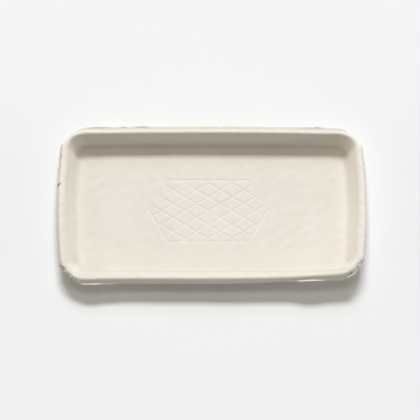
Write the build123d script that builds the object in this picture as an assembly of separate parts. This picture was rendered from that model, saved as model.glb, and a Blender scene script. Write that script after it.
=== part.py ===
"""A shallow rectangular food tray of moulded pulp, formed as one piece.

Frame: millimetres, X along the tray, Y across it, Z up, origin on the table under the tray's centre.
The board keeps one thickness everywhere. Its section rises from the flat floor through a rounded
foot and a leaning wall, turns over a rounded crest and falls down an outer lip to a cut edge. That
section is carried round the foot line, the edge of the flat floor, whose four sides bulge gently
between rounded corners.
"""
from build123d import *
from math import atan2, cos, degrees, hypot, radians, sin, sqrt
import os

# Size from cut edge to cut edge of the lip, and from the table to the top of the rim
overall_length = 266.0
overall_width = 137.0
height = 21.0

# Foot line, seen from above
foot_corner_radius = 8.5     # round each corner of the flat floor
side_bow = 1.1               # how far a long side of the floor falls back towards its corners
end_bow = 3.2                # how far an end of the floor falls back towards its corners

# Section through wall and rim
board = 1.6                  # thickness of the pulp
foot_radius = 4.5            # upper face, between floor and wall
wall_draft = 20.0            # degrees that the wall leans outwards from upright
crest_inner_radius = 0.9     # under face, below the top of the rim
lip_slope = 58.0             # degrees that the lip falls below level
lip_length = 4.3             # straight part of the lip, down its slope


def section_places():
    """Where the section's two bends are centred, and how far its cut edge lies from the foot line."""
    lean = radians(wall_draft)
    fall = radians(lip_slope)
    crest_radius = crest_inner_radius + board
    bends = foot_radius + crest_radius
    wall_length = (height - board - bends * (1 - sin(lean))) / cos(lean)
    crest_out = bends * cos(lean) + wall_length * sin(lean)
    edge_out = crest_out + crest_radius * sin(fall) + lip_length * cos(fall)
    foot_centre = (0, board + foot_radius)
    crest_centre = (crest_out, height - crest_radius)
    return foot_centre, crest_centre, edge_out


def board_face(depth, radius):
    """Draw one face of the board, depth below the upper one, and return its first and last points."""
    foot_centre, crest_centre, _ = section_places()
    out = Vector(radius, 0)
    foot = CenterArc(out + Vector(*foot_centre), foot_radius + depth, -90, 90 - wall_draft)
    over = wall_draft - 90 - lip_slope
    crest_radius = crest_inner_radius + board - depth
    crest = CenterArc(out + Vector(*crest_centre), crest_radius, 180 - wall_draft, over)
    Line(foot @ 1, crest @ 0)
    lip = PolarLine(crest @ 1, lip_length, -lip_slope)
    return foot @ 0, lip @ 1


def rim_section(radius):
    """The section of foot, wall, crest and lip, with the foot line at the given radius."""
    with BuildSketch() as section:
        with BuildLine():
            upper_foot, upper_edge = board_face(0, radius)
            lower_foot, lower_edge = board_face(board, radius)
            Line(upper_foot, lower_foot)
            Line(upper_edge, lower_edge)
        make_face()
    return section.sketch


def bulge_radius(half_chord, bow):
    """Radius of the arc that falls back by bow over half_chord."""
    return (half_chord**2 + bow**2) / (2 * bow)


def foot_arcs():
    """The foot line's eight tangent arcs in order: centre, radius, start and sweep in degrees."""
    edge_out = section_places()[2]
    half_length = overall_length / 2 - edge_out
    half_width = overall_width / 2 - edge_out
    side_radius = bulge_radius(half_length, side_bow)
    end_radius = bulge_radius(half_width, end_bow)
    side_y = half_width - side_radius
    end_x = half_length - end_radius

    # A corner is centred one corner radius inside both bulging sides, where two circles cross.
    to_side = side_radius - foot_corner_radius
    to_end = end_radius - foot_corner_radius
    span = hypot(end_x, side_y)
    along = (to_side**2 - to_end**2 + span**2) / (2 * span)
    off = sqrt(to_side**2 - along**2)
    corner_x = (along * end_x - off * side_y) / span
    corner_y = side_y - (along * side_y + off * end_x) / span

    # Angles from X at which the corner arc meets the end and the side.
    at_end = degrees(atan2(corner_y, corner_x - end_x))
    at_side = degrees(atan2(corner_y - side_y, corner_x))
    turn = at_side - at_end
    return [
        ((end_x, 0), end_radius, -at_end, 2 * at_end),
        ((corner_x, corner_y), foot_corner_radius, at_end, turn),
        ((0, side_y), side_radius, at_side, 180 - 2 * at_side),
        ((-corner_x, corner_y), foot_corner_radius, 180 - at_side, turn),
        ((-end_x, 0), end_radius, 180 - at_end, 2 * at_end),
        ((-corner_x, -corner_y), foot_corner_radius, 180 + at_end, turn),
        ((0, -side_y), side_radius, 180 + at_side, 180 - 2 * at_side),
        ((corner_x, -corner_y), foot_corner_radius, -at_side, turn),
    ]


def make_floor(arcs):
    """The flat floor inside the foot line."""
    with BuildPart() as floor:
        with BuildSketch():
            with BuildLine():
                for centre, radius, start, sweep in arcs:
                    CenterArc(centre, radius, start, sweep)
            make_face()
        extrude(amount=board)
    return floor.part


def make_rim(centre, radius, start, sweep):
    """Foot, wall, crest and lip along one arc of the foot line, turned about the arc's centre."""
    outward = (cos(radians(start)), sin(radians(start)), 0)
    sideways = (outward[1], -outward[0], 0)
    upright = Plane(origin=(*centre, 0), x_dir=outward, z_dir=sideways)
    return revolve(upright * rim_section(radius), Axis((*centre, 0), (0, 0, 1)), sweep)


def make_tray():
    """The tray: the floor and the eight stretches of rim as one solid."""
    arcs = foot_arcs()
    return make_floor(arcs).fuse(*[make_rim(*arc) for arc in arcs]).clean()


os.makedirs("parts", exist_ok=True)
export_step(make_tray(), "parts/tray.step")
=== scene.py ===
# %% [markdown]
# # A food tray of moulded pulp
#
# The object is one shallow tray. Paper fibre was drawn wet onto a wire mould, pressed and dried, so
# floor, walls and rim are a single board of even thickness, with a rough cut edge all round. This
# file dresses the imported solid: it lays a finer surface of the same size over it, with the warp,
# frayed lip and pressed floor that the plain solid leaves out, and gives it the look of dry fibre.

import math

import bpy
import numpy as np
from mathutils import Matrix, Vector


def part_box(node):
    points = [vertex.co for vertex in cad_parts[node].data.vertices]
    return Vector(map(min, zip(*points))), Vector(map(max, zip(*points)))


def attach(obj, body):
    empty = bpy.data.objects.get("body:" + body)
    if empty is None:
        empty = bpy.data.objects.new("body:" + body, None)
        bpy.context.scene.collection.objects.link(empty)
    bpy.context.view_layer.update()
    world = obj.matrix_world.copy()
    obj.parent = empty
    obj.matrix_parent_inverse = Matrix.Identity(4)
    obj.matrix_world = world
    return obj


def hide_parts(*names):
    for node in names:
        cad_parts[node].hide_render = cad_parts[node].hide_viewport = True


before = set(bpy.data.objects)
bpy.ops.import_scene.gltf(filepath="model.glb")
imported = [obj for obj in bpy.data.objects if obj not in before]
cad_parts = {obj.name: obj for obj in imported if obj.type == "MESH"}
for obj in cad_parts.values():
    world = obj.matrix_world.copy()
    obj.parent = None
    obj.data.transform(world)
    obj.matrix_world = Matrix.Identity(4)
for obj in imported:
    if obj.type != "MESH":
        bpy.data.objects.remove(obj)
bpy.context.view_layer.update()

# %% [markdown]
# ## Sizes
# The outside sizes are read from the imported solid, so the finer surface always fits it. The board's
# thickness and the bends of its section are written once here. The real rim differs along the tray:
# its lip hangs steeper at the ends and flares more along the sides, so those values have one number
# for the ends and one for the sides. At the two far corners the lip is tucked under, and at the two
# near ones it is creased, which the corner values say. Nor was the lip cut straight, so each long
# side has a short list of how much longer the lip is here and there.

# %% Sizes in metres
MM = 0.001
_, tray_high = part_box("tray")
half_length, half_width, height = tray_high.x, tray_high.y, tray_high.z

board = 1.6 * MM                                           # thickness
crest_radius = 2.5 * MM                                    # upper face, from the wall to the top
foot_corner_radius = 6.0 * MM                              # corners of the floor, seen from above
foot_inset_end, foot_inset_side = 18.7 * MM, 15.6 * MM     # from the tray's outline to its floor
side_bow, end_bow = 1.1 * MM, 3.2 * MM                     # how far the floor's edges bulge outwards

# What changes round the rim: value at the two ends, value along the two sides.
section_values = {
    "foot": (5.5 * MM, 3.5 * MM),                          # bend between floor and wall
    "draft": (math.radians(22.0), math.radians(18.5)),     # lean of the wall from upright
    "shoulder": (4.6 * MM, 2.5 * MM),                      # bend from the top to the lip
    "fall": (math.radians(80.0), math.radians(53.0)),      # slope of the lip below level
    "lip": (3.6 * MM, 5.1 * MM),                           # straight part of the lip
}

# What two kinds of corner make of it: value at the far corners, value at the near corners.
corner_values = {
    "shoulder": (2.2 * MM, 2.2 * MM),
    "fall": (math.radians(88.0), math.radians(56.0)),
    "lip": (3.0 * MM, 4.8 * MM),
}

# Outward direction, in degrees off the end, where the section starts to turn into that of its
# corner, how many degrees that takes, and between which two directions it turns back.
far_corner_from, near_corner_from, corner_blend = 16, 12, 7
corner_until = (50, 74)

# Extra length of the lip along the two sides: place along x and extra length there, in mm.
near_lip = [
    (-120, -0.3), (-95, -0.6), (-84, -0.3), (-60, -0.5), (15, -0.5), (60, -1.9), (85, -2.2),
    (104, -0.3), (114, -0.9), (125, -1.0),
]
far_lip = [(-110, 0.0), (-92, 0.2), (-75, 1.0), (-45, 1.1), (70, 1.1), (88, 0.4), (110, 0.0)]
print("tray of %.1f x %.1f x %.1f mm" % (2e3 * half_length, 2e3 * half_width, 1e3 * height))

# %% [markdown]
# ## The foot line
# Everything is carried round the foot line, the edge of the flat floor. It could be drawn as points,
# but it is eight arcs that run smoothly into each other, so there is a neater way: for each outward
# direction there is exactly one point, the centre of the arc that faces that way plus its radius
# times the direction. Moving outwards by any distance is then one addition.

# %% Arcs of the foot line
foot_half_length = half_length - foot_inset_end
foot_half_width = half_width - foot_inset_side


def bulge_radius(half_chord, bow):
    """Radius of an arc that falls back by bow over half_chord: (half_chord^2 + bow^2) / (2 bow)."""
    return (half_chord**2 + bow**2) / (2 * bow)


side_radius = bulge_radius(foot_half_length, side_bow)
end_radius = bulge_radius(foot_half_width, end_bow)
side_y = foot_half_width - side_radius
end_x = foot_half_length - end_radius

# The corner is centred where circles round both arc centres, one corner radius smaller, cross.
span = math.hypot(end_x, side_y)
to_side, to_end = side_radius - foot_corner_radius, end_radius - foot_corner_radius
along = (to_side**2 - to_end**2 + span**2) / (2 * span)
off = math.sqrt(to_side**2 - along**2)
corner_x = (along * end_x - off * side_y) / span
corner_y = side_y - (along * side_y + off * end_x) / span

at_end = math.atan2(corner_y, corner_x - end_x)
at_side = math.atan2(corner_y - side_y, corner_x)
mid_corner = (at_end + at_side) / 2
arc_centres = np.array([[end_x, 0], [corner_x, corner_y], [0, side_y]])
arc_radii = np.array([end_radius, foot_corner_radius, side_radius])


def foot_line(angle):
    """Points of the foot line that face along angle, and their outward directions.

    Point = centre of the facing arc + radius * (cos angle, sin angle). Signs mirror the first
    quarter, which holds the end, the corner and the side, into the other three."""
    direction = np.stack([np.cos(angle), np.sin(angle)], axis=-1)
    folded = np.arctan2(np.abs(direction[..., 1]), np.abs(direction[..., 0]))
    facing = np.digitize(folded, [at_end, at_side])
    centre = arc_centres[facing] * np.sign(direction)
    return centre + arc_radii[facing][..., None] * direction, direction


print("corner centre at %.1f, %.1f mm" % (1e3 * corner_x, 1e3 * corner_y))

# %% [markdown]
# ## Spacing
# The floor carries a pressed pattern with strokes little more than a millimetre wide, so the grid is
# fine there and at the corners, and coarse between them. An even grid would spend most of its faces
# on plain board. The spacing comes from adding up a density along the foot line and dividing the
# total into equal shares.

# %% Grid lines along one side and one end
side_cells, end_cells = 296, 156                  # both even, because the under face has half as many
field_half_length, field_half_width = 51.0 * MM, 27.0 * MM
field_density, corner_density = 2.0, 3.0
plain_side_density, plain_end_density = 0.62, 0.9
field_fade, corner_fade = 12 * MM, 4 * MM         # lengths over which the density changes
before_corner = 2 * MM                            # the corner's finer stretch starts this far ahead
samples = 1500                                    # points per arc when the density is added up


def step(value, start, stop):
    """Rises smoothly from 0 at start to 1 at stop: t * t * (3 - 2 t) with t held between 0 and 1."""
    t = np.clip((value - start) / (stop - start), 0, 1)
    return t * t * (3 - 2 * t)


def share_out(breaks, cells, place, field, plain, corner_start):
    """Angles that cut the foot line between the first and last break into cells stretches.

    Stretch length is one over a density: high within field, plain outside it, raised again past
    corner_start. place picks the coordinate, 0 for x and 1 for y, that the density goes by."""
    fine = np.concatenate([np.linspace(a, b, samples)[1:] for a, b in zip(breaks, breaks[1:])])
    fine = np.concatenate([breaks[:1], fine])
    points, _ = foot_line(fine)
    middle = np.abs((points[1:, place] + points[:-1, place]) / 2)
    density = plain + (field_density - plain) * (1 - step(middle, field, field + field_fade))
    density += (corner_density - plain) * step(middle, corner_start, corner_start + corner_fade)
    lengths = np.linalg.norm(np.diff(points, axis=0), axis=1)
    total = np.concatenate([[0], np.cumsum(lengths * density)])
    return np.interp(np.linspace(0, total[-1], cells + 1), total, fine)


half_turn = math.pi
side_breaks = [mid_corner, at_side, half_turn - at_side, half_turn - mid_corner]
end_breaks = [-mid_corner, -at_end, at_end, mid_corner]
side_angles = share_out(
    side_breaks, side_cells, 0, field_half_length, plain_side_density, corner_x - before_corner)
end_angles = share_out(
    end_breaks, end_cells, 1, field_half_width, plain_end_density, corner_y - before_corner)
loop_angles = np.concatenate([
    -side_angles[::-1][:-1],                  # near side, from left to right
    end_angles[:-1],                          # right end, from near to far
    side_angles[:-1],                         # far side, from right to left
    half_turn + end_angles[:-1],              # left end, from far to near
])
loop_points, loop_outward = foot_line(loop_angles)
print("grid of %d x %d cells, %d points round the rim" % (side_cells, end_cells, len(loop_angles)))

# %% [markdown]
# ## The floor as a patch between four curves
# The floor's grid has to end exactly on the rounded, bulging foot line, or the walls would not join
# it. Stretching a straight grid would leave gaps at the corners. A Coons patch blends the two sides,
# blends the two ends, adds both and takes away the blend of the four corners that was counted twice.

# %% Floor grid


def floor_patch(angles_side, angles_end):
    """Grid of floor points, side index first: sides blended + ends blended - corners blended."""
    far, _ = foot_line(angles_side[::-1])
    near, _ = foot_line(-angles_side[::-1])
    right, _ = foot_line(angles_end)
    left, _ = foot_line(half_turn - angles_end)
    u = (near[:, 0] - near[0, 0]) / (near[-1, 0] - near[0, 0])
    v = (right[:, 1] - right[0, 1]) / (right[-1, 1] - right[0, 1])
    u, v = u[:, None, None], v[None, :, None]
    sides = (1 - v) * near[:, None] + v * far[:, None]
    ends = (1 - u) * left[None] + u * right[None]
    corners = (1 - u) * ((1 - v) * near[0] + v * far[0]) + u * ((1 - v) * near[-1] + v * far[-1])
    return sides + ends - corners


floor_xy = floor_patch(side_angles, end_angles)
under_xy = floor_patch(side_angles[::2], end_angles[::2])
print("smallest and largest floor cell: %.2f and %.2f mm" % (
    1e3 * np.diff(floor_xy[:, 0, 0]).min(), 1e3 * np.diff(floor_xy[:, 0, 0]).max()))

# %% [markdown]
# ## The section of the rim
# Foot, wall, crest and lip are one bent strip of board. Its upper face is an arc, a straight, an arc
# and a straight, and its under face is the same strip one board's thickness deeper. Each point also
# gets its normal, because unevenness in the pulp has to push the surface outwards, not just up. The
# draft, the lip's fall and its length are arrays round the rim, so the section changes as it goes.

# %% How the section changes round the rim
long_side = (0.5, 0.9)          # how far across the tray the board faces where a long side begins
sideness = np.sin(loop_angles) ** 2
shape = {name: end + (side - end) * sideness for name, (end, side) in section_values.items()}
off_end = np.degrees(np.arctan2(np.abs(loop_outward[:, 1]), np.abs(loop_outward[:, 0])))
is_far = loop_outward[:, 1] > 0
corner_from = np.where(is_far, far_corner_from, near_corner_from)
in_corner = step(off_end, corner_from, corner_from + corner_blend)
in_corner *= 1 - step(off_end, *corner_until)
for name, (far, near) in corner_values.items():
    shape[name] = shape[name] + (np.where(is_far, far, near) - shape[name]) * in_corner

faces_near = step(-loop_outward[:, 1], *long_side)
faces_far = step(loop_outward[:, 1], *long_side)
for lip_cut, facing_it in ((near_lip, faces_near), (far_lip, faces_far)):
    cut_x, cut_extra = np.array(lip_cut).T * MM
    shape["lip"] = shape["lip"] + facing_it * np.interp(loop_points[:, 0], cut_x, cut_extra)
coarse_shape = {name: value[::2] for name, value in shape.items()}
print("lip %.1f to %.1f mm long" % (1e3 * shape["lip"].min(), 1e3 * shape["lip"].max()))

# %% Section of the board


def ramp(count):
    """Shares 1 / count, 2 / count and so on up to 1, one row each."""
    return (np.arange(1, count + 1) / count)[:, None]


def rim_section(depth, rows, shape):
    """How far out, how high and which way round the rim each row of one face of the board lies.

    rows holds the number of rows in foot, wall, crest and lip. Foot: centre + (sin a, -cos a) * r
    for a from 0 to upright less draft. Crest: centre + (sin a, cos a) * r for a from minus that to
    fall, where r is the crest's radius up to the top and the shoulder's after it. The straights
    join and follow them. The normal is (-sin a, cos a) or (sin a, cos a)."""
    draft, fall, lip = shape["draft"], shape["fall"], shape["lip"]
    upright = math.pi / 2 - draft
    bends = shape["foot"] + crest_radius
    wall_length = (height - board - bends * (1 - np.sin(draft))) / np.cos(draft)
    crest_out = bends * np.cos(draft) + wall_length * np.sin(draft)

    a = ramp(rows[0]) * upright
    r = shape["foot"] + depth
    foot = [r * np.sin(a), board - depth + r * (1 - np.cos(a)), -np.sin(a), np.cos(a)]

    a = -upright + ramp(rows[2]) * (upright + fall)
    r = np.where(a > 0, shape["shoulder"], crest_radius) - depth
    crest = [crest_out + r * np.sin(a), height - depth - r * (1 - np.cos(a)), np.sin(a), np.cos(a)]

    t = ramp(rows[1])
    r = crest_radius - depth
    top_out = crest_out - r * np.sin(upright)
    top_up = height - depth - r * (1 - np.cos(upright))
    steady = np.ones_like(t)
    wall = [
        foot[0][-1] + t * (top_out - foot[0][-1]), foot[1][-1] + t * (top_up - foot[1][-1]),
        -np.sin(upright) * steady, np.cos(upright) * steady,
    ]

    t = ramp(rows[3])
    steady = np.ones_like(t)
    outer = [
        crest[0][-1] + t * lip * np.cos(fall), crest[1][-1] - t * lip * np.sin(fall),
        np.sin(fall) * steady, np.cos(fall) * steady,
    ]
    return [np.concatenate(parts) for parts in zip(foot, wall, crest, outer)]


upper_rows = (6, 7, 10, 8)
under_rows = (4, 3, 4, 3)
upper = rim_section(0.0, upper_rows, shape)
under = rim_section(board, under_rows, coarse_shape)
print("rim: %d rows above, %d below, reach %.1f to %.1f mm past the foot line" % (
    sum(upper_rows), sum(under_rows), 1e3 * upper[0][-1].min(), 1e3 * upper[0][-1].max()))

# %% [markdown]
# ## Uneven pulp
# Fibre settles in clumps, so no face of the board is quite flat. Random heights at each point would
# look like sand. Adding up waves that run in many directions gives soft, rolling unevenness that is
# the same on every run, because the directions are drawn from a numbered seed. Real board is uneven
# at more than one scale, so a surface gets a list of such sums, each with its own height and length.

# %% Rolling unevenness


def rolling(x, y, wavelength, seed, waves=28):
    """Soft random heights of about unit size: the sum of cos(k * direction . point + phase) over
    the waves, times sqrt(2 / waves). Directions and phases lie anywhere round the circle, and k is
    2 pi over a wavelength that lies within 30% of the given one."""
    draw = np.random.default_rng(seed)
    turn = draw.uniform(0, 2 * math.pi, waves)
    size = 2 * math.pi / (wavelength * draw.uniform(0.7, 1.3, waves))
    phase = draw.uniform(0, 2 * math.pi, waves)
    total = np.zeros(np.broadcast(x, y).shape)
    for c, s, k, p in zip(np.cos(turn), np.sin(turn), size, phase):
        total += np.cos(k * (c * x + s * y) + p)
    return total * math.sqrt(2 / waves)


def uneven(x, y, scales):
    """Rolling heights at several scales added up. Each scale: height and wavelength in mm, seed."""
    return sum(high * MM * rolling(x, y, wavelength * MM, seed) for high, wavelength, seed in scales)


trial = uneven(np.linspace(0, 100 * MM, 400), 0.0, [(1.0, 9.0, 1)])
print("unevenness of strength 1 mm runs from %.1f to %.1f mm" % (1e3 * trial.min(), 1e3 * trial.max()))

# %% [markdown]
# ## The pressed field
# The middle of the floor carries a shallow pressed pattern. A plain quilt of crossing grooves inside
# a long six-sided border is used: two families of parallel grooves and one border groove. Distance
# to the nearest groove gives the depth, so crossings do not dig deeper than a single groove.

# %% Depth of the pressed field
groove_depth = 0.28 * MM
groove_half_width = 0.7 * MM
quilt_margin = 0.6 * MM         # the quilt fades out over this distance from the border
quilt_pitch = 10.5 * MM
quilt_slope = math.radians(31.0)
field_point = 16.0 * MM         # how much longer the border is at mid height than at its two sides
field_centre = (-3.0 * MM, -2.0 * MM)


def nearest_line(distance, pitch):
    """Distance to the nearest of a family of lines, given the distance across them."""
    return np.abs((distance + pitch / 2) % pitch - pitch / 2)


def pressed_depth(x, y):
    """Depth of the quilt at floor points: groove_depth * exp(-(distance / half width)^2)."""
    x, y = x - field_centre[0], y - field_centre[1]
    c, s = math.cos(quilt_slope), math.sin(quilt_slope)
    crossing = np.minimum(
        nearest_line(s * x + c * y, quilt_pitch), nearest_line(s * x - c * y, quilt_pitch))
    taper = math.hypot(field_point, field_half_width)
    to_point = field_half_length - np.abs(x) - np.abs(y) * field_point / field_half_width
    inside = np.minimum(field_half_width - np.abs(y), to_point * field_half_width / taper)
    quilt = np.exp(-(crossing / groove_half_width) ** 2) * step(inside, 0, quilt_margin)
    border = np.exp(-(inside / groove_half_width) ** 2)
    return groove_depth * np.maximum(quilt, border)


print("pressed field %.0f x %.0f mm" % (2e3 * field_half_length, 2e3 * field_half_width))

# %% [markdown]
# ## The frayed lip
# The lip was cut or torn off its mould sheet, so its edge wanders, and here and there a sliver of it
# is bent outwards far enough to catch the light, or stands up as a thin burr. Each one is a smooth
# bump in two values that go round the rim, how far out and how far up the edge is bent. The two near
# corners are torn, so the board is rougher there. Moving points keeps the surface closed, where
# cutting it would not.

# %% Fray and torn corners
fray_scales = [(0.14, 4.5, 11), (0.07, 1.8, 12)]
rougher_left, rougher_right = 2.5, 2.0                        # more fray at the torn corners
plan = loop_points + loop_outward * upper[0][-1][:, None]     # cut edge, seen from above

# The torn corners in mm, left and right: where the middle is along x and y, and the reach.
torn_corners = [(-125, -61, 12), (124, -60, 11)]


def bump(x, y, centre_x, centre_y, reach):
    """Flat-topped hill of height 1 at the centre: exp(-(distance / reach)^4)."""
    distance = np.hypot(x - centre_x, y - centre_y) / reach
    return np.exp(-distance**4)


torn_left, torn_right = (
    bump(plan[:, 0], plan[:, 1], x * MM, y * MM, reach * MM) for x, y, reach in torn_corners)
fray = uneven(plan[:, 0], plan[:, 1], fray_scales)
fray *= 1 + rougher_left * torn_left + rougher_right * torn_right
print("fray of up to %.1f mm" % (1e3 * np.abs(fray).max()))

# %% Bent slivers
bend_from = 0.7                 # share of the lip that stays straight at a bent place
fray_droop = 0.5                # how far longer fibres hang down, for each mm that they stand out

# Each bent place in mm: where it is along x and y, half its length, how far out, how far up.
bent_places = [
    (-103, -68, 9.0, 1.1, 1.2),
    (-88, -68, 9.0, 0.6, 0.3),
    (84, -67, 12.5, 1.4, 1.0),
    (117.5, -64, 4.2, 1.0, 1.3),
    (-97, 68, 10.0, 0.25, 1.1),
    (-77, 68, 4.0, 0.2, 1.0),
    (-60, 68, 8.0, 0.25, 1.1),
    (92, 68, 5.0, 0.3, 1.2),
]
bent_out, bent_up = np.zeros(len(plan)), np.zeros(len(plan))
for x, y, reach, outwards, upwards in bent_places:
    here = bump(plan[:, 0], plan[:, 1], x * MM, y * MM, reach * MM)
    bent_out += outwards * MM * here
    bent_up += upwards * MM * here


def work_lip(out, up, rows, fray, bent_out, bent_up):
    """Applies fray and bent places to the rows of one face and returns where they then lie.

    Share t runs from 0 where the lip leaves the shoulder to 1 at the cut edge. Out gains
    fray * t^2 + bent out * step(t), and up gains bent up * step(t) - fray droop * fray * t^2."""
    t = np.concatenate([np.zeros((sum(rows[:3]), 1)), ramp(rows[3])])
    bend = step(t, bend_from, 1.0)
    return out + fray * t**2 + bent_out * bend, up + bent_up * bend - fray_droop * fray * t**2


upper[0], upper[1] = work_lip(upper[0], upper[1], upper_rows, fray, bent_out, bent_up)
under[0], under[1] = work_lip(under[0], under[1], under_rows, fray[::2], bent_out[::2], bent_up[::2])
print("lip bends out by up to %.1f mm and up by up to %.1f mm" % (
    1e3 * bent_out.max(), 1e3 * bent_up.max()))

# %% [markdown]
# ## Rows into space
# Each row of the section is now laid out round the foot line: the point moves along its outward
# direction by the row's reach and up by its height. Unevenness is added along the normal, with loose
# tufts and a few raised flakes on the outside of the two torn corners. The cut edge itself gets two
# more rows between the upper and the under face, set back and forth a little, which is how torn fibre
# ends look from close by.

# %% Upper and under face of the rim
rim_scales = [(0.07, 9.0, 21), (0.035, 3.2, 22)]
tuft_scales = [(0.42, 2.1, 23)]
tufts_right = 0.7               # strength of the right corner's tufts beside the left one's
unwinding = 1.7                 # height shifts the pattern by this much, so steep board has no streaks

# Each raised flake in mm: where it is along x and y, its reach, its height.
flakes = [
    (125.3, -56.2, 1.1, 1.2),
    (121.0, -58.6, 0.9, 0.6),
    (-126.6, -53.1, 0.9, 0.5),
    (-124.9, -56.1, 0.9, 0.7),
    (-122.3, -58.7, 0.9, 0.6),
    (-119.8, -61.1, 1.0, 0.7),
    (-116.8, -63.2, 0.9, 0.5),
]


def lay_out(section, points, outward, bumps):
    """Rows of points in space: across = foot line + outward * (out + normal out * bumps), and
    height = up + normal up * bumps."""
    out, up, normal_out, normal_up = section
    xy = points[None] + outward[None] * (out + normal_out * bumps)[..., None]
    return np.concatenate([xy, (up + normal_up * bumps)[..., None]], axis=-1)


flat_rim = lay_out(upper, loop_points, loop_outward, 0.0)
rim_x, rim_y, rim_z = np.moveaxis(flat_rim, -1, 0)
across_x, across_y = rim_x + unwinding * rim_z, rim_y - unwinding * rim_z
outside = step(upper[2], -0.1, 0.5)               # upper[2] is how far the board's face turns outwards
rim_bumps = uneven(across_x, across_y, rim_scales)
tufted = torn_left + tufts_right * torn_right
rim_bumps += uneven(across_x, across_y, tuft_scales) * tufted * outside
for x, y, reach, raised in flakes:
    rim_bumps += raised * MM * bump(rim_x, rim_y, x * MM, y * MM, reach * MM) * outside
upper_rim = lay_out(upper, loop_points, loop_outward, rim_bumps)
under_rim = lay_out(under, loop_points[::2], loop_outward[::2], 0.0)
print("rim: %d x %d points above, %d x %d below" % (*upper_rim.shape[:2], *under_rim.shape[:2]))

# %% Cut edge
edge_scales = [(0.18, 2.4, 31)]
edge_swell = 0.12 * MM

# The two rows of the cut edge: share of the way down the board, and how raggedly it is torn there.
edge_rows = [(0.3, 1.2), (0.7, 0.8)]

fine_places = np.arange(len(loop_points))
coarse_places = np.arange(0, len(loop_points) + 1, 2)
under_edge = np.stack([
    np.interp(fine_places, coarse_places, np.append(under_rim[-1, :, k], under_rim[-1, 0, k]))
    for k in range(3)], axis=-1)
torn = uneven(plan[:, 0], plan[:, 1], edge_scales)
cut_rows = []
for share, raggedness in edge_rows:
    row = upper_rim[-1] + share * (under_edge - upper_rim[-1])
    row[:, :2] += loop_outward * (edge_swell + torn * raggedness)[:, None]
    cut_rows.append(row)
cut_edge = np.stack(cut_rows)
print("cut edge: %d x %d points" % cut_edge.shape[:2])

# %% Floor above and below
floor_scales = [(0.05, 11.0, 41), (0.022, 3.0, 42)]
floor_x, floor_y = floor_xy[..., 0], floor_xy[..., 1]
floor_z = board - pressed_depth(floor_x, floor_y) + uneven(floor_x, floor_y, floor_scales)
floor = np.dstack([floor_x, floor_y, floor_z])
under_floor = np.dstack([under_xy[..., 0], under_xy[..., 1], np.zeros(under_xy.shape[:2])])
print("floor %.2f to %.2f mm above the table" % (1e3 * floor_z.min(), 1e3 * floor_z.max()))

# %% [markdown]
# ## Painted shade and dark spots
# Painted shade darkens the lip and the cut edge, most of all at the left end and along the far side.
# It also darkens the bend at the foot of the walls, the near wall, and the floor towards the near
# side and both ends. A few small spots are painted darker too: some are marks, the rest painted shade
# of burrs, torn flakes and torn fibres. Painting on a picture would need an image, so each point of
# the mesh gets two shares as attributes, and the colour reads them later on.

# %% Painted shade on the floor
shade_left_end, shade_right_end = 0.27, 0.16
shade_near_half, shade_near_edge = 0.11, 0.2
corner_shade_strength = 0.2

# Each stretch, from the middle outwards: where the painted shade starts and where it is full.
end_stretch = (84 * MM, 108 * MM)
half_stretch, edge_stretch = (8 * MM, 54 * MM), (40 * MM, 54 * MM)
ends_fade = (22 * MM, 42 * MM)                    # towards the near side the painted shade at the ends fades out
# Middle and reach of the painted shade inside each near corner.
corner_shade_x, corner_shade_y, corner_shade_reach = 110 * MM, -50 * MM, 19 * MM


def floor_shade_at(x, y):
    """Painted shade on the floor: a smooth step at each end, which fades out towards the near side,
    plus two smooth steps towards the near side."""
    ends = np.where(x < 0, shade_left_end, shade_right_end) * step(np.abs(x), *end_stretch)
    near = shade_near_half * step(-y, *half_stretch) + shade_near_edge * step(-y, *edge_stretch)
    return near + ends * (1 - step(-y, *ends_fade))


def near_corner_shade(x, y):
    """Painted shade inside the two near corners, one bump at each."""
    return corner_shade_strength * bump(np.abs(x), y, corner_shade_x, corner_shade_y, corner_shade_reach)


# Painted shade: the floor is darkened towards both ends, towards the near side and inside the near
# corners.
floor_shade = floor_shade_at(floor_x, floor_y) + near_corner_shade(floor_x, floor_y)
print("floor dulled by up to %.2f" % floor_shade.max())

# %% Share of painted shade
lip_shade_spared_near, lip_shade_spared_right = 0.95, 0.5             # how much less painted shade the lip and cut edge get there
# Painted shade in the bend at the foot, more on the far side and less on the near one, and on the
# walls, most on the near wall.
foot_shade_base, foot_shade_more_far, foot_shade_less_near = 0.22, 0.2, 0.1
wall_shade_base, wall_shade_more_near = 0.1, 0.38
foot_middle, foot_spread = 0.5, 0.33              # slope where the foot's painted shade is strongest, and its spread
foot_up_to = 7 * MM                               # the floor's painted shade fades out up to this height
under_share = 0.5                                 # share of the lip's painted shade that the under face gets beside the cut edge

slope = -upper[2]                                 # inside: 0 on level board, 1 on upright board
# Painted shade on the lip and the cut edge, spared on the near side and in part at the right end.
lip_shade = 1 - lip_shade_spared_near * step(-loop_outward[:, 1], 0.25, 0.7)
lip_shade *= 1 - lip_shade_spared_right * step(loop_outward[:, 0], 0.4, 0.9)
foot_shade = foot_shade_base + foot_shade_more_far * faces_far - foot_shade_less_near * faces_near
wall_shade = wall_shade_base + wall_shade_more_near * faces_near

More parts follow.
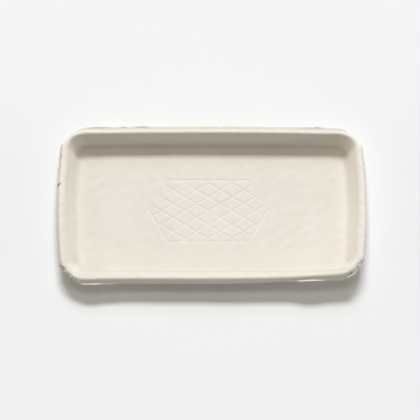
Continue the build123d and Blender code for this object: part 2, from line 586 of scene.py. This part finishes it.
# Painted shade of the foot and walls, of the floor and near corners beside them, and of the lip.
rim_shade = foot_shade * np.exp(-((slope - foot_middle) / foot_spread) ** 2)
rim_shade += wall_shade * step(slope, 0.1, 0.8)
rim_shade += floor_shade_at(rim_x, rim_y) * (1 - step(rim_z, board, foot_up_to))
rim_shade += near_corner_shade(rim_x, rim_y) * step(slope, -0.3, 0.1)
rim_shade += lip_shade * step(-slope, 0.35, 0.85)
painted_shade = np.concatenate([share.ravel() for share in (
    floor_shade, rim_shade, lip_shade * np.ones((len(cut_rows), 1)),
    under_share * lip_shade[::2] * np.ones((len(under_rim), 1)), np.zeros(under_xy.shape[:2]))])
print("bare fibre on %.0f%% of the points" % (100 * np.mean(painted_shade > 0.5)))

# %% Share of soil and painted shade
# Painted shade in blotches between the torn fibres of the near left corner.
blotch_strength, blotch_length, blotch_seed = 0.3, 2.2 * MM, 51
torn_fibre_shade = np.clip(rolling(rim_x, rim_y, blotch_length, blotch_seed), 0, 1)
torn_fibre_shade *= blotch_strength * torn_left * outside

# Each dark spot in mm: where it is along x and y, half its size along x and y, and how strong. The
# first three are small dark marks. The spots along the far edge and at the near right corner are
# painted shade of the burrs and torn flakes there.
darkened_spots = [
    (-129.5, 42.0, 1.0, 1.7, 0.5),
    (22.0, 61.4, 1.4, 0.7, 0.22),
    (25.7, 38.6, 0.9, 0.9, 0.14),
    (-99.0, 67.9, 8.5, 0.9, 0.45),
    (-75.5, 68.2, 3.0, 0.9, 0.35),
    (-60.0, 68.3, 5.0, 0.9, 0.45),
    (85.0, 68.2, 12.0, 0.9, 0.4),
    (123.8, -54.6, 0.9, 0.8, 0.35),
    (127.0, -53.0, 0.9, 1.2, 0.25),
    (118.2, -62.3, 1.6, 1.2, 0.3),
]


def darkened(x, y):
    """Share of dark spots: the sum over the spots of strength * exp(-(dx / half x)^4 - (dy / half
    y)^4).
    """
    total = np.zeros(x.shape)
    for centre_x, centre_y, half_x, half_y, strength in darkened_spots:
        from_centre = ((x / MM - centre_x) / half_x) ** 4 + ((y / MM - centre_y) / half_y) ** 4
        total += strength * np.exp(-from_centre)
    return total


print("%d soiled spots" % len(darkened_spots))

# %% [markdown]
# ## Warp and nick
# A dried tray is never true. One corner, near and right, has lifted off the table and been drawn in.
# The two far corners stand out a little and are squarer. The near left corner is spread and has sunk,
# the lip stands out a little further at the left end, and the rim rises and dips by a few tenths. At
# the left end a short nick runs into the lip on the slant, and the board beyond it stands up as a
# flap. Bending the finished mesh with modifiers would need one for each. Here they are pushes of the
# whole board that go by place alone, so both faces get the same one and the board keeps its
# thickness.

# %% Nick and flap
nick_x, nick_y, nick_slope = -131.6 * MM, 16.6 * MM, 0.95
nick_half_width = 0.25 * MM
nick_depth = (1.2 * MM, 2.6 * MM)                 # the lift fades out between these
flap_lift, flap_length, flap_dip = 1.8 * MM, 3.5 * MM, 0.3


def flap(x, y):
    """Share of the lift beside the nick: 1 on its far side and minus the dip on its near side, times
    exp(-(gap / length)^2) away from it and a smooth step down to 0 where the nick ends."""
    gap = y - nick_y - nick_slope * (x - nick_x)
    on_lip = 1 - step(x, nick_x + nick_depth[0], nick_x + nick_depth[1])
    lift = (1 + flap_dip) * step(gap, -nick_half_width, nick_half_width) - flap_dip
    return on_lip * lift * np.exp(-((gap / flap_length) ** 2))


print("nick %.0f mm from the middle of the left end" % (nick_y / MM))

# %% Warp of the dried board
lifted_corner, lifted_floor = 4.8 * MM, 0.25      # the floor there lifts by this share of the corner
drawn_in_x, drawn_in_y = 0.3 * MM, 2.2 * MM
pushed_corner = 0.1 * MM
squared_left, squared_right, squared_far = 1.6 * MM, 1.0 * MM, 0.4 * MM
spread_left, sunk_left = 2.0 * MM, 1.0 * MM
longer_left, longer_from = 0.35 * MM, 6 * MM      # the longer lip starts this far in from the end
tapered = 0.004                                   # how much narrower the right end is than the middle
ripple_height, ripple_share = 0.18 * MM, 0.6      # share of the short ripple beside the long one
ripple_long, ripple_short, ripple_across = 21 * MM, 9.5 * MM, 17 * MM      # wavelengths over 2 pi

# Each push in mm: how far in from the outline it is centred, and how far it reaches, along x and y.
lifted_in, lifted_reach = (0, 0), (55, 45)
pushed_in, pushed_reach = (6, 6), (15, 15)
spread_in, spread_reach = (0, 0), (38, 40)
squared_in, squared_reach = (13, 12), (12, 12)


def hill(x, y, inset, reach):
    """Smooth weight, 1 at a place inset from the corner where x and y are at their largest:
    exp(-((x - place x) / reach x)^2 - ((y - place y) / reach y)^2), in mm."""
    place_x, place_y = half_length / MM - inset[0], half_width / MM - inset[1]
    return np.exp(-((x / MM - place_x) / reach[0]) ** 2 - ((y / MM - place_y) / reach[1]) ** 2)


def warp(points):
    """Moves points by smooth pushes that grow with rim weight = height above the table / height."""
    x, y, z = points[..., 0], points[..., 1], points[..., 2]
    rim = np.clip(z / height, 0, 1)
    lifted = hill(x, -y, lifted_in, lifted_reach)
    pushed = hill(x, -y, pushed_in, pushed_reach)
    spread = hill(-x, -y, spread_in, spread_reach)
    squared = hill(np.abs(x), y, squared_in, squared_reach)
    ripple = np.sin(x / ripple_long + 0.6) + ripple_share * np.sin(x / ripple_short + np.sign(y))
    ripple += np.sin(y / ripple_across + 2)

    moved = points.copy()
    moved[..., 0] -= (drawn_in_x * lifted + pushed_corner * pushed) * rim
    moved[..., 0] -= longer_left * step(-x, half_length - longer_from, half_length)
    moved[..., 1] += (drawn_in_y * lifted + pushed_corner * pushed) * rim
    moved[..., 0] += squared * np.where(x > 0, squared_right, -squared_left)
    moved[..., 1] += squared_far * squared
    moved[..., 1] *= 1 - tapered * rim * (x / half_length)
    moved[..., 1] -= spread_left * spread * rim
    moved[..., 2] += lifted_corner * lifted * (lifted_floor + (1 - lifted_floor) * rim)
    moved[..., 2] += ripple_height * ripple * rim**2
    moved[..., 2] += flap_lift * flap(x, y) - sunk_left * spread * rim**2
    return moved


top_of_corner = np.array([half_length, -half_width, height])
print("near right corner lifts by %.1f mm" % (1e3 * (warp(top_of_corner) - top_of_corner)[2]))

# %% [markdown]
# ## One closed surface
# Floor grid, rim rows, cut edge, under rows and under grid are joined through their point numbers,
# so no two points lie on top of each other and the mesh is closed from the start. The under face
# has half as many points round, so one row of triangles steps down from two points to one. Extruding
# and bridging by hand would give the same faces, but each row would have to be picked again after
# every change.

# %% Faces from point numbers


def grid_faces(numbers):
    """Quads of a grid of point numbers, turning from the first axis to the second."""
    a, b = numbers[:-1, :-1], numbers[1:, :-1]
    c, d = numbers[1:, 1:], numbers[:-1, 1:]
    return np.stack([a, b, c, d], axis=-1).reshape(-1, 4)


def around(numbers):
    """Rows of point numbers with the first column repeated at the end, which closes the loop."""
    return np.concatenate([numbers, numbers[:, :1]], axis=1)


def border(numbers):
    """Border of a grid in the loop's order: near side, right end, far side, left end."""
    return np.concatenate([numbers[:-1, 0], numbers[-1, :-1], numbers[:0:-1, -1], numbers[0, :0:-1]])


print("a grid of 3 x 3 points has %d faces" % len(grid_faces(np.arange(9).reshape(3, 3))))

# %% Numbers of all points
blocks = [floor, upper_rim, cut_edge, under_rim[::-1], under_floor]
numbers, first = [], 0
for block in blocks:
    count = block.shape[0] * block.shape[1]
    numbers.append(first + np.arange(count).reshape(block.shape[:2]))
    first += count
floor_n, upper_n, cut_n, under_n, under_floor_n = numbers
print("%d points in %d blocks" % (first, len(blocks)))

# %% The tray's mesh
outer_rows = around(np.concatenate([border(floor_n)[None], upper_n, cut_n]))
inner_rows = around(np.concatenate([under_n, border(under_floor_n)[None]]))
fine, coarse = outer_rows[-1], inner_rows[0]
stepped = np.concatenate([
    np.stack([fine[:-1:2], coarse[:-1], fine[1::2]], axis=-1),
    np.stack([fine[1::2], coarse[:-1], coarse[1:]], axis=-1),
    np.stack([fine[1::2], coarse[1:], fine[2::2]], axis=-1),
])
quads = np.concatenate([
    grid_faces(floor_n), grid_faces(outer_rows), grid_faces(inner_rows),
    grid_faces(under_floor_n)[:, ::-1],
])
unwarped = np.concatenate([block.reshape(-1, 3) for block in blocks])
points = warp(unwarped)


def closed_mesh(name, points, quads, triangles):
    """A mesh object from arrays: loops are the quads' corners and then the triangles' corners."""
    mesh = bpy.data.meshes.new(name)
    mesh.vertices.add(len(points))
    mesh.vertices.foreach_set("co", points.astype(np.float32).ravel())
    corners = np.concatenate([quads.ravel(), triangles.ravel()]).astype(np.int32)
    starts = np.concatenate([
        np.arange(len(quads)) * 4, len(quads) * 4 + np.arange(len(triangles)) * 3]).astype(np.int32)
    mesh.loops.add(len(corners))
    mesh.loops.foreach_set("vertex_index", corners)
    mesh.polygons.add(len(starts))
    mesh.polygons.foreach_set("loop_start", starts)
    mesh.update(calc_edges=True)
    mesh.validate()
    mesh.shade_smooth()
    piece = bpy.data.objects.new(name, mesh)
    bpy.context.scene.collection.objects.link(piece)
    return piece


tray = closed_mesh("pulp_tray", points, quads, stepped)
# Both shares carry painted shade. The second also holds a few small dark marks on the board.
soil_and_shade = darkened(unwarped[:, 0], unwarped[:, 1])
soil_and_shade[upper_n] += torn_fibre_shade
for name, share in (("painted_shade", painted_shade), ("soil_and_shade", soil_and_shade)):
    attribute = tray.data.attributes.new(name, "FLOAT", "POINT")
    attribute.data.foreach_set("value", share.astype(np.float32))
print("tray mesh: %d points, %d triangles" % (len(points), 2 * len(quads) + len(stepped)))

# %% [markdown]
# ## Shader sums
# Node trees are hard to read as code when every addition is a node, two links and a value. A small
# class stands for a socket and turns plus, minus and times into Math nodes, so that a material reads
# as a formula. Every other node comes from one method.

# %% A socket that can be added and multiplied


class Level:
    """A value on its way through a node tree. Sums and products of levels add Math nodes."""

    def __init__(self, tree, socket):
        self.tree, self.socket = tree, socket

    def math(self, operation, first, second):
        """The result of a Math node for first and second, each a level or a number."""
        return node(self.tree, "ShaderNodeMath", {"operation": operation}, {0: first, 1: second})[0]

    def __add__(self, other):
        return self.math("ADD", self, other)

    def __sub__(self, other):
        return self.math("SUBTRACT", self, other)

    def __rsub__(self, other):
        return self.math("SUBTRACT", other, self)

    def __mul__(self, other):
        return self.math("MULTIPLY", self, other)

    __radd__ = __add__
    __rmul__ = __mul__

    def over(self, limit):
        """1 where the level is above limit, else 0."""
        return self.math("GREATER_THAN", self, limit)


def node(tree, kind, settings, inputs):
    """Adds a node, sets it up, then fills its inputs, and returns its outputs as levels."""
    made = tree.nodes.new(kind)
    for name, value in settings.items():
        setattr(made, name, value)
    for name, value in inputs.items():
        if isinstance(value, Level):
            tree.links.new(value.socket, made.inputs[name])
        else:
            made.inputs[name].default_value = value
    return [Level(tree, socket) for socket in made.outputs]


def blend(share, first, second):
    """Colour first * (1 - share) + second * share. On a Mix node for colours, input 0 is the share,
    6 and 7 are the two colours, and output 2 is the result."""
    return node(share.tree, "ShaderNodeMix", {"data_type": "RGBA"}, {0: share, 6: first, 7: second})[2]


def srgb(red, green, blue):
    """Linear colour of a screen colour from 0 to 255. With c = value / 255, it is
    ((c + 0.055) / 1.055)^2.4 above 0.04045 and c / 12.92 below."""
    c = np.array([red, green, blue]) / 255
    linear = np.where(c > 0.04045, ((c + 0.055) / 1.055) ** 2.4, c / 12.92)
    return (*linear.tolist(), 1.0)


print("a screen grey of 128 is %.3f in linear light" % srgb(128, 128, 128)[0])

# %% [markdown]
# ## Dry pulp
# Moulded pulp is cream, without any gloss. One even colour would look like plastic, because seen
# close the board has soft clouds a few centimetres wide where the fibre lies thicker, a fine felt of
# fibres under a millimetre, and a rare dark speck. The clouds, the specks, the painted shade and the
# dark spots go into the colour, and the felt into a bump, because it is far finer than the mesh. The
# patterns read the tray's own coordinates, so they stay put.

# %% Pulp material
cream_light = srgb(240, 235, 226)
cream_deep = srgb(231, 225, 212)
# Grey that the painted shade darkens the cream towards.
shade_grey = srgb(205, 199, 185)
# Grey of the dark spots: a few marks, the rest painted shade.
soil_and_shade_grey = srgb(142, 136, 126)
speck_brown = srgb(150, 138, 118)
cloud_scale, speck_scale, fleck_scale, felt_scale = 32.0, 42.0, 420.0, 1300.0   # patches per metre
cloud_share, fleck_share, tone_drop = 0.75, 0.45, 0.1
speck_size, speck_strength = 0.016, 0.55
felt_share, felt_strength, felt_depth = 0.6, 0.35, 0.25 * MM
roughness_least, roughness_range, sheen = 0.82, 0.16, 0.05


def tree_of(name):
    """An empty node material and its node tree."""
    material = bpy.data.materials.new(name)
    material.use_nodes = True
    material.node_tree.nodes.clear()
    return material, material.node_tree


def dry_pulp():
    """Cream board: clouds between two creams, painted shade, dark spots that are mostly painted
    shade, brown specks, and a felt as bump.
    """
    material, tree = tree_of("dry_pulp")
    place = node(tree, "ShaderNodeTexCoord", {}, {})[3]        # the tray's own coordinates

    clouds = node(tree, "ShaderNodeTexNoise", {}, {
        "Vector": place, "Scale": cloud_scale, "Detail": 3.0})[0]
    flecks = node(tree, "ShaderNodeTexNoise", {}, {
        "Vector": place, "Scale": fleck_scale, "Detail": 4.0, "Roughness": 0.65})[0]
    cream = blend(clouds * cloud_share + flecks * fleck_share - tone_drop, cream_deep, cream_light)

    shaded = node(tree, "ShaderNodeAttribute", {"attribute_name": "painted_shade"}, {})[2]
    soil_and_shade = node(tree, "ShaderNodeAttribute", {"attribute_name": "soil_and_shade"}, {})[2]
    cell = node(tree, "ShaderNodeTexVoronoi", {}, {"Vector": place, "Scale": speck_scale})[0]
    is_speck = (speck_size - cell).over(0.0)
    # Painted shade darkens the cream towards grey, and the dark spots, mostly painted shade, darken it
    # further.
    board_colour = blend(soil_and_shade, blend(shaded, cream, shade_grey), soil_and_shade_grey)
    colour = blend(is_speck * speck_strength, board_colour, speck_brown)

    felt = node(tree, "ShaderNodeTexNoise", {}, {
        "Vector": place, "Scale": felt_scale, "Detail": 5.0, "Roughness": 0.7, "Distortion": 1.2})[0]
    relief = node(tree, "ShaderNodeBump", {}, {
        "Height": felt * felt_share + flecks * (1 - felt_share),
        "Strength": felt_strength, "Distance": felt_depth})[0]
    finish = node(tree, "ShaderNodeBsdfPrincipled", {}, {
        "Base Color": colour, "Roughness": flecks * roughness_range + roughness_least,
        "Normal": relief, "Specular IOR Level": sheen})[0]
    node(tree, "ShaderNodeOutputMaterial", {}, {"Surface": finish})
    return material


tray.data.materials.append(dry_pulp())
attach(tray, "root")
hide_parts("tray")
print("pulp material on", tray.name)

# %% [markdown]
# ## Table, light and camera
# The tray stands on a white table. A window-like light from behind, a little over half way up the
# sky, throws the far wall's shadow on the floor and the tray's own shadow towards the viewer. A weak
# light above it and another below it make the window taller, so that the shadow is darkest next to
# the tray and fades outwards. That would still leave both end walls grey, and they are nearly as
# light as the floor. Two wide panels, so low that they hardly touch the table, light them without
# filling the shadows. The camera is almost overhead and far away.

# %% White table
table_tone = srgb(243, 243, 243)
table_reach = 3.0
table_gap = 0.1 * MM            # keeps the table's face off the tray's under face


def white_table():
    """Matt white of one even tone, for the surface under the tray."""
    material, tree = tree_of("white_table")
    finish = node(tree, "ShaderNodeBsdfDiffuse", {}, {"Color": table_tone})[0]
    node(tree, "ShaderNodeOutputMaterial", {}, {"Surface": finish})
    return material


table_mesh = bpy.data.meshes.new("table")
table_mesh.from_pydata(
    [(-table_reach, -table_reach, 0), (table_reach, -table_reach, 0),
     (table_reach, table_reach, 0), (-table_reach, table_reach, 0)], [], [(0, 1, 2, 3)])
table = bpy.data.objects.new("table", table_mesh)
bpy.context.scene.collection.objects.link(table)
table.data.materials.append(white_table())
table.location.z = -table_gap
print("table reaches %.0f m each way" % table_reach)

# %% Light and sky
# Each panel: degrees above the table, degrees right of straight behind, distance, width and height
# in metres, watts, colour.
panels = {
    "window": (49.0, 1.5, 12.0, (5.2, 1.95), 1120.0, (0.99, 1.0, 1.0)),
    "window_top": (76.0, 0.0, 6.0, (3.0, 1.5), 55.0, (1.0, 0.96, 0.92)),
    "window_foot": (38.0, 0.0, 12.0, (5.0, 2.0), 220.0, (0.55, 0.67, 1.0)),
    "left_panel": (8.0, -90.0, 3.0, (2.4, 0.5), 29.6, (0.96, 1.0, 0.97)),
    "right_panel": (8.0, 90.0, 3.0, (2.4, 0.5), 30.4, (0.9, 0.94, 1.0)),
}
sky_colour, sky_strength = (1.0, 0.91, 0.77, 1), 0.154


def hang_panel(name, place, size, energy, colour):
    """A rectangular panel of light at place, turned to face the tray."""
    light = bpy.data.lights.new(name, "AREA")
    light.shape = "RECTANGLE"
    light.size, light.size_y = size
    light.energy = energy
    light.color = colour
    lamp = bpy.data.objects.new(name, light)
    bpy.context.scene.collection.objects.link(lamp)
    lamp.location = place
    lamp.rotation_euler = Vector(place).to_track_quat("Z", "Y").to_euler()


def far_place(height_above, turn, distance):
    """Point height_above degrees over the table and turn degrees right of straight behind. With up
    and right for those angles: distance * (cos up * sin right, cos up * cos right, sin up)."""
    up, right = math.radians(height_above), math.radians(turn)
    return (distance * math.cos(up) * math.sin(right), distance * math.cos(up) * math.cos(right),
            distance * math.sin(up))


for name, (height_above, turn, distance, size, watts, colour) in panels.items():
    hang_panel(name, far_place(height_above, turn, distance), size, watts, colour)

sky = bpy.data.worlds.new("sky")
sky.use_nodes = True
sky.node_tree.nodes["Background"].inputs["Color"].default_value = sky_colour
sky.node_tree.nodes["Background"].inputs["Strength"].default_value = sky_strength
bpy.context.scene.world = sky
bpy.context.scene.view_settings.view_transform = "Standard"
print("%d panels and a weak sky" % len(panels))

# %% Camera
view_height = math.radians(78.0)
view_distance = 2.0
frame_width = 0.3585            # what the picture spans at the height of the rim
looked_at = Vector((-1.6 * MM, -5.4 * MM, height))
sensor = 36.0                   # width of the film in millimetres, as Blender counts it
camera_data = bpy.data.cameras.new("camera")
camera_data.sensor_width = sensor
camera_data.lens = sensor * view_distance / frame_width
camera = bpy.data.objects.new("camera", camera_data)
bpy.context.scene.collection.objects.link(camera)
back = Vector((0, -math.cos(view_height), math.sin(view_height)))
camera.location = looked_at + view_distance * back
camera.rotation_euler = back.to_track_quat("Z", "Y").to_euler()
bpy.context.scene.camera = camera
print("camera %.1f m away" % view_distance)
